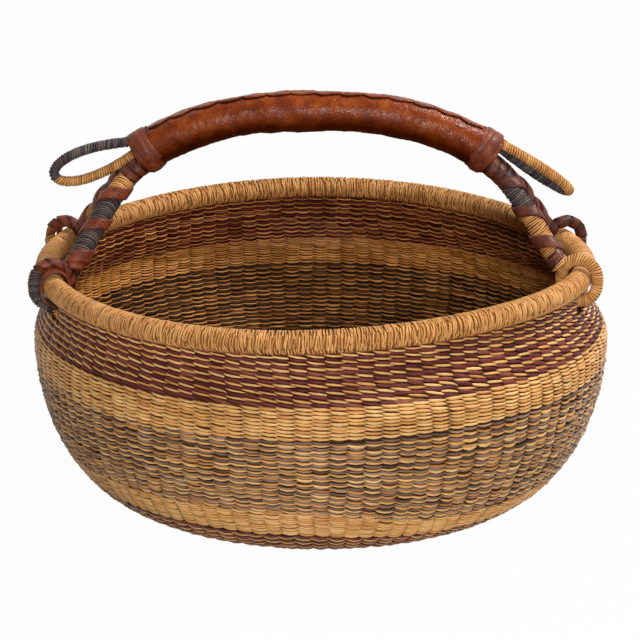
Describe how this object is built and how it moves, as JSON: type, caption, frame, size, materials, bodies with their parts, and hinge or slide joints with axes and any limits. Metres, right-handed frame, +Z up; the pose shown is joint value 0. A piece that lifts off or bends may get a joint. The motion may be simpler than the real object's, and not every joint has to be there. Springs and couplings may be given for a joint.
{
  "type": "bolga basket",
  "caption": "Round twined-grass market basket with a wrapped rim and an arched leather-covered handle that is looped to the rim.",
  "frame": {"origin": "on the ground under the middle of the bowl", "axes": "+Z up out of the bowl; X along the grip of the handle; -Y is the pictured front"},
  "size_m": [0.4283, 0.4284, 0.3017],
  "materials": {
    "natural_weave": "satin",
    "plum_weave": "satin",
    "indigo_weave": "satin",
    "natural_wrap": "satin",
    "indigo_wrap": "satin",
    "core_grass": "matte",
    "red_leather": "satin",
    "brown_leather": "satin"
  },
  "bodies": {
    "basket": {"plum_band": "plum_weave", "upper_natural_band": "natural_weave", "indigo_band": "indigo_weave", "lower_natural_band": "natural_weave", "base_plum_band": "plum_weave", "base_natural_band": "natural_weave", "base_start": "natural_weave", "rim_core": "core_grass", "rim_wrapping": "natural_wrap"},
    "handle": {"grip_core": "core_grass", "grip_sleeve": "red_leather", "grip_seam": "red_leather", "left_collar": "brown_leather", "right_collar": "brown_leather", "left_front_leg": "natural_wrap", "left_back_leg": "natural_wrap", "right_front_leg": "natural_wrap", "right_back_leg": "natural_wrap", "left_front_strip": "brown_leather", "left_back_strip": "brown_leather", "right_front_strip": "brown_leather", "right_back_strip": "brown_leather", "left_front_lashing": "brown_leather", "left_back_lashing": "brown_leather", "left_front_rim_loop": "indigo_wrap", "left_back_rim_loop": "natural_wrap", "right_front_rim_loop": "natural_wrap", "right_back_rim_loop": "brown_leather", "left_tail_loop": "indigo_wrap", "right_tail_loop": "natural_wrap"}
  },
  "joints": [
    {"name": "handle_rock", "type": "hinge", "parent": "basket", "child": "handle", "pos_m": [-0.004, 0, 0.172], "axis": [1, 0, 0], "range_deg": [-2, 2]}
  ]
}
